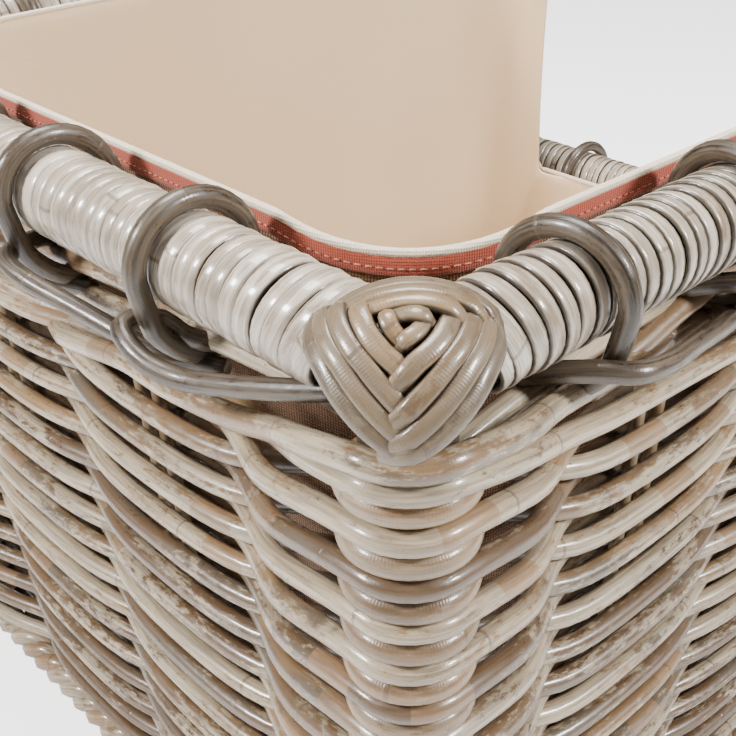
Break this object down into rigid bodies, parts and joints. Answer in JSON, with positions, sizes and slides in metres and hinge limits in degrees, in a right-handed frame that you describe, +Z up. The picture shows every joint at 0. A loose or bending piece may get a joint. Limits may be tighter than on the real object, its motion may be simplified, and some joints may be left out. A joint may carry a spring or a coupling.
{
  "type": "log basket",
  "caption": "Rectangular wicker log basket with high back and sides, a dropped front, wrapped top rails, corner knots and a lift-out cloth liner.",
  "frame": {"origin": "centre of the bounding box at floor level", "axes": "+Z up, +Y towards the high back, -Y towards the dropped front"},
  "size_m": [0.5046, 0.5912, 0.4],
  "materials": {
    "frame_pole": "dry, unvarnished cane pole",
    "binding_cane": "flat half-round cane, whitewashed, low sheen",
    "knot_cane": "flat cane, light varnish",
    "ring_cane": "dark grey-brown round cane, light varnish",
    "stake_cane": "thin round cane, dry",
    "weave_cane": "mixed cream, tan and grey round cane with worn whitewash",
    "liner_cloth": "thick brushed cloth, hessian backing",
    "liner_tape": "folded cotton tape, stitched"
  },
  "bodies": {
    "basket": {"back_border_rod": "weave_cane", "back_lashing": "ring_cane", "back_left_knot": "knot_cane", "back_left_post": "frame_pole", "back_left_post_wrap": "weave_cane", "back_rail_binding": "binding_cane", "back_rail_pole": "frame_pole", "back_right_knot": "knot_cane", "back_right_post": "frame_pole", "back_right_post_wrap": "weave_cane", "back_ring_1": "ring_cane", "back_ring_2": "ring_cane", "back_ring_3": "ring_cane", "back_ring_4": "ring_cane", "back_stakes": "stake_cane", "back_weave": "weave_cane", "base_panel": "weave_cane", "foot_rim": "weave_cane", "front_border_rod": "weave_cane", "front_lashing": "ring_cane", "front_left_knot": "knot_cane", "front_left_post": "frame_pole", "front_left_post_wrap": "weave_cane", "front_rail_binding": "binding_cane", "front_rail_pole": "frame_pole", "front_right_knot": "knot_cane", "front_right_post": "frame_pole", "front_right_post_wrap": "weave_cane", "front_ring_1": "ring_cane", "front_ring_2": "ring_cane", "front_ring_3": "ring_cane", "front_ring_4": "ring_cane", "front_stakes": "stake_cane", "front_weave": "weave_cane", "left_border_rod": "weave_cane", "left_lashing": "ring_cane", "left_rail_binding": "binding_cane", "left_rail_pole": "frame_pole", "left_ring_1": "ring_cane", "left_ring_2": "ring_cane", "left_ring_3": "ring_cane", "left_ring_4": "ring_cane", "left_ring_5": "ring_cane", "left_stakes": "stake_cane", "left_weave": "weave_cane", "right_border_rod": "weave_cane", "right_lashing": "ring_cane", "right_rail_binding": "binding_cane", "right_rail_pole": "frame_pole", "right_ring_1": "ring_cane", "right_ring_2": "ring_cane", "right_ring_3": "ring_cane", "right_ring_4": "ring_cane", "right_ring_5": "ring_cane", "right_stakes": "stake_cane", "right_weave": "weave_cane"},
    "liner": {"liner": "liner_cloth", "liner_binding": "liner_tape"}
  },
  "joints": [
    {"name": "liner_lift", "type": "slide", "parent": "basket", "child": "liner", "axis": [0, 0, 1], "range_m": [0, 0.42]}
  ]
}
